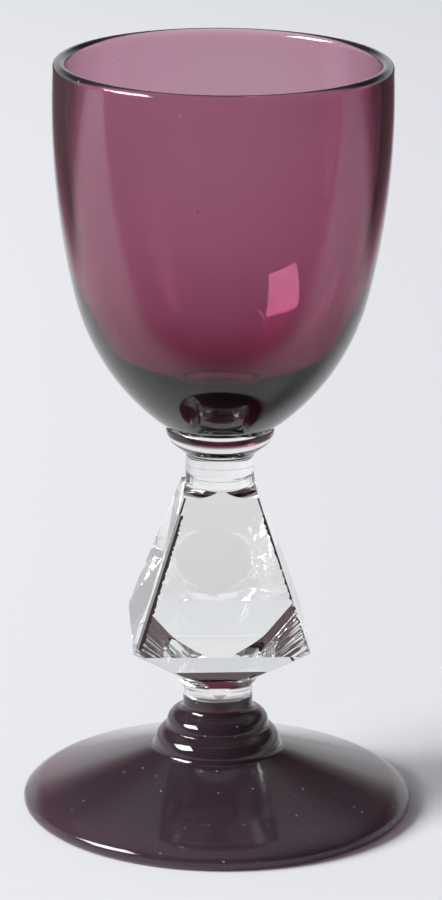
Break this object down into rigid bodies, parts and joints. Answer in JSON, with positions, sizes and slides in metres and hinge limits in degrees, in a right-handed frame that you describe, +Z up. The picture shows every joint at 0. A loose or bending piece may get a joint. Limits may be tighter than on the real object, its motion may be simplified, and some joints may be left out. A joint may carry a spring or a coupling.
{
  "type": "cordial glass",
  "caption": "Small stemmed glass for cordial: a deep amethyst bowl on a clear collar, a clear square faceted stem, and an amethyst foot with stepped rings.",
  "frame": {"origin": "centre of the flat ring that the foot rests on", "axes": "+Z up along the stem, -Y towards the front facet of the knop, which is turned 3 degrees"},
  "size_m": [0.0486, 0.0486, 0.095],
  "materials": {
    "amethyst_glass": "amethyst glass coloured right through, fire-polished, glossy",
    "clear_glass": "clear colourless glass, fire-polished and cut, glossy"
  },
  "bodies": {
    "root": {"foot": "amethyst_glass", "stem": "clear_glass", "collar": "clear_glass", "bowl": "amethyst_glass"}
  },
  "joints": []
}
